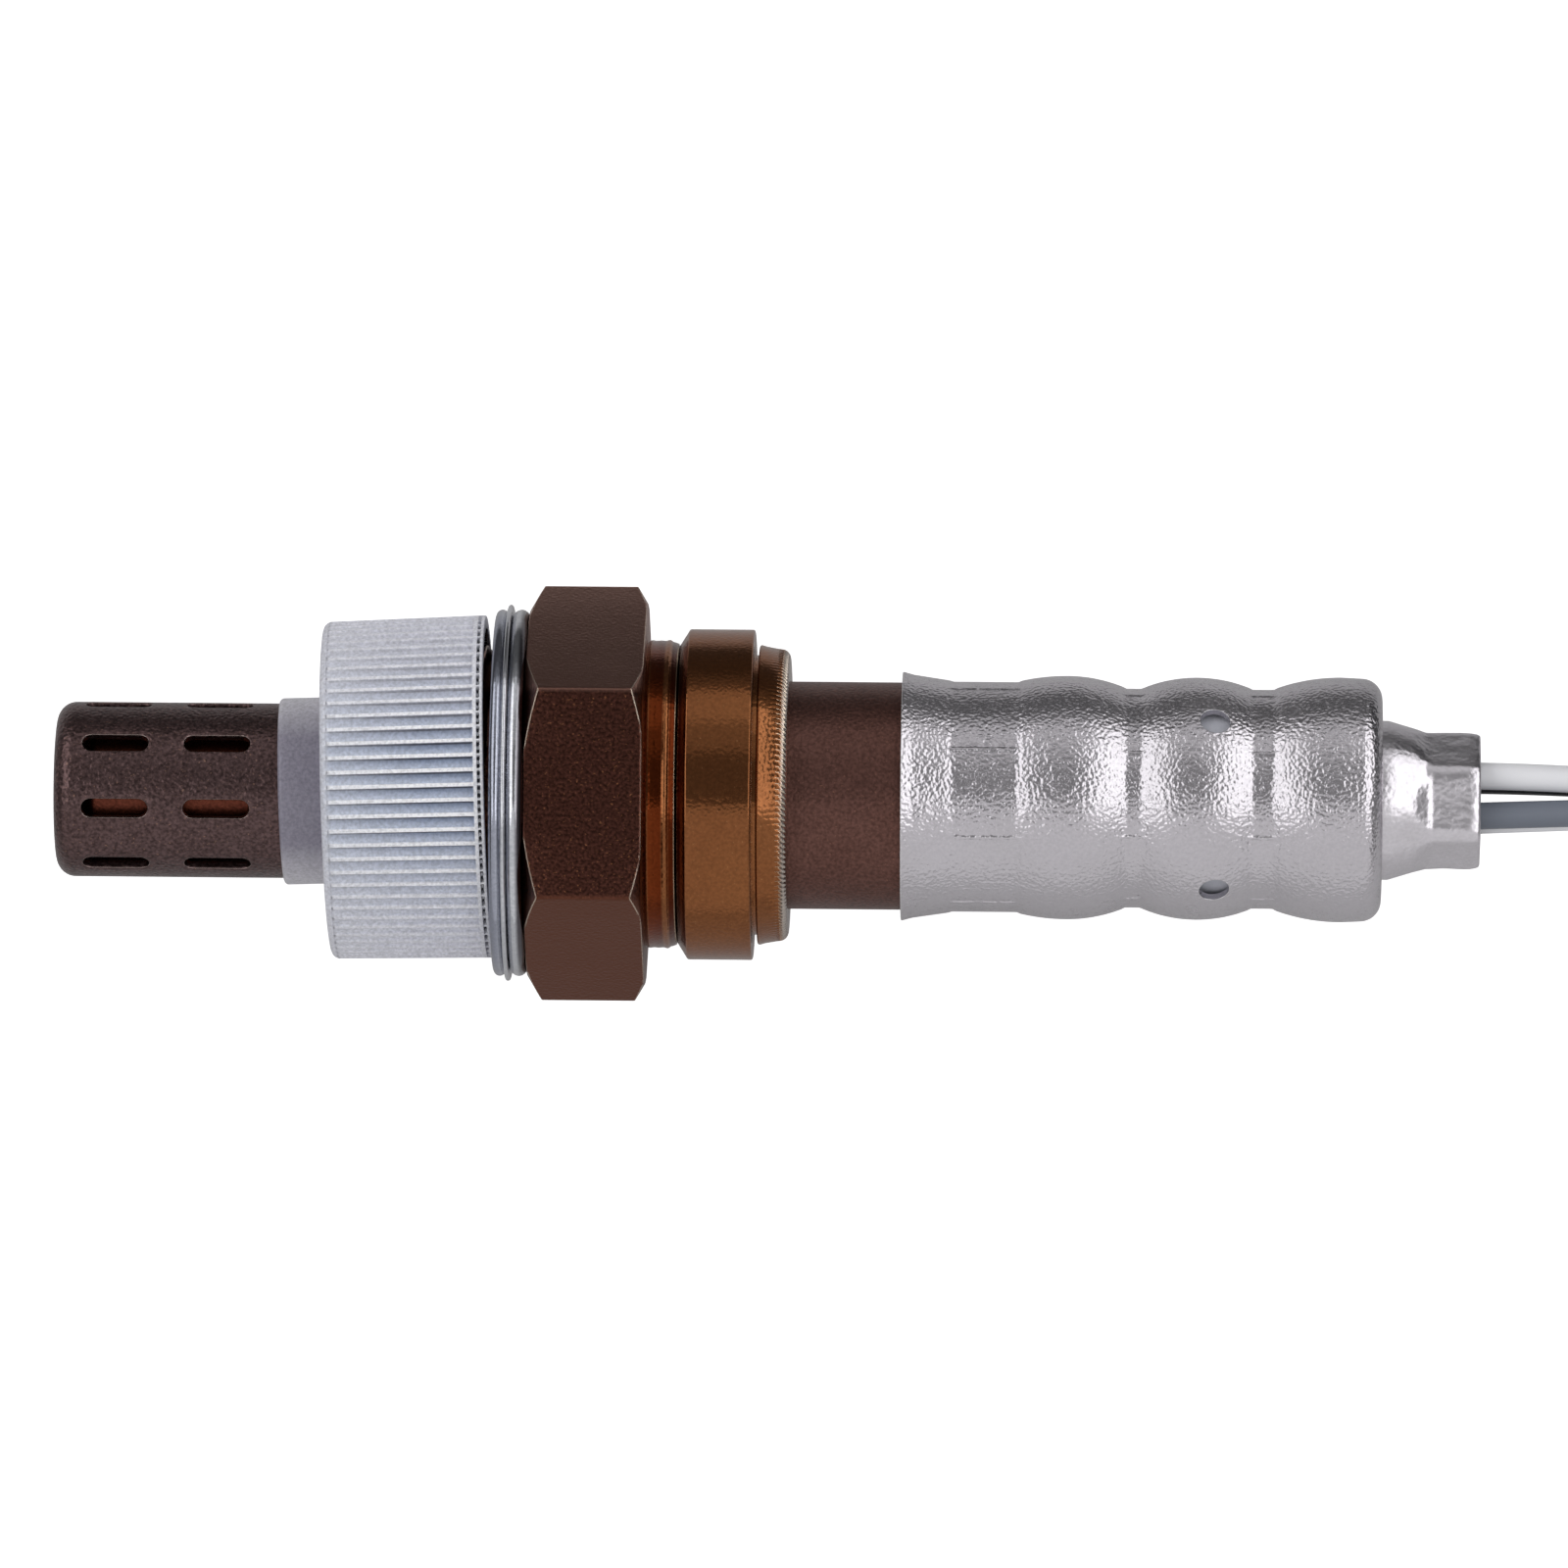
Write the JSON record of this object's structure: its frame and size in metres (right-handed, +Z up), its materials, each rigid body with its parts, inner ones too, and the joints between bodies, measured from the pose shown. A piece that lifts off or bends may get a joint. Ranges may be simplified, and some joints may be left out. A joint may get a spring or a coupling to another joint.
{
  "type": "oxygen sensor",
  "caption": "Heated exhaust oxygen sensor with slotted gas tip, threaded hex body, crush gasket, thread protector cap, crimped rear sleeve and folded lead with plug.",
  "frame": {"origin": "on the thread axis, in the plane of the hex's sealing face", "axes": "-X along the thread axis towards the gas tip, +X towards the lead, +Z up, with the sensor lying on one flat of its hex"},
  "size_m": [0.1956, 0.0496, 0.023],
  "materials": {
    "housing_steel": "turned stainless steel, baked brown",
    "tip_steel": "deep-drawn stainless steel, baked brown",
    "rear_tube_steel": "drawn stainless steel, heat tinted",
    "sleeve_steel": "fine-blasted stainless steel",
    "gasket_steel": "rolled and folded sheet steel",
    "cap_polyethylene": "translucent moulded polyethylene",
    "zirconia": "sintered ceramic, opaque",
    "alumina": "sintered ceramic, opaque",
    "talc": "pressed powder, opaque",
    "terminal_nickel": "stamped nickel alloy",
    "filter_ptfe": "porous expanded film",
    "grommet_rubber": "moulded fluorine rubber",
    "wire_white": "extruded insulation",
    "wire_black": "extruded insulation",
    "wire_grey": "extruded insulation",
    "woven_sleeve": "braided glass-fibre yarn",
    "tape": "calendered film",
    "connector_nylon": "injection-moulded nylon",
    "seal_rubber": "moulded silicone rubber",
    "lock_nylon": "injection-moulded nylon",
    "pin_brass": "tin-plated"
  },
  "bodies": {
    "sensor": {"hex_housing": "housing_steel", "outer_protection_tube": "tip_steel", "inner_protection_tube": "tip_steel", "sealing_gasket": "gasket_steel", "sensing_element": "zirconia", "rod_heater": "alumina", "packing_washer": "gasket_steel", "talc_ring": "talc", "ceramic_bush": "alumina", "crimp_ring": "gasket_steel", "rear_tube": "rear_tube_steel", "outer_sleeve": "sleeve_steel", "breather_filter": "filter_ptfe", "neck_tube": "sleeve_steel", "wire_grommet": "grommet_rubber", "terminal_insulator": "alumina", "insulator_clip": "terminal_nickel", "heater_terminal_a": "terminal_nickel", "heater_terminal_b": "terminal_nickel", "outer_electrode_terminal": "terminal_nickel", "inner_electrode_terminal": "terminal_nickel", "heater_wire_a": "wire_white", "heater_wire_b": "wire_white", "signal_wire": "wire_black", "ground_wire": "wire_grey", "protective_sleeve": "woven_sleeve", "sleeve_hank": "woven_sleeve", "sleeve_tail": "woven_sleeve", "tape_band": "tape", "connector_boot": "seal_rubber", "connector_housing": "connector_nylon", "connector_lock": "lock_nylon", "connector_pin_1": "pin_brass", "connector_pin_2": "pin_brass", "connector_pin_3": "pin_brass", "connector_pin_4": "pin_brass"},
    "cap": {"thread_protector_cap": "cap_polyethylene"}
  },
  "joints": [
    {"name": "cap_slide", "type": "slide", "parent": "sensor", "child": "cap", "axis": [-1, 0, 0], "range_m": [0, 0.045]}
  ]
}
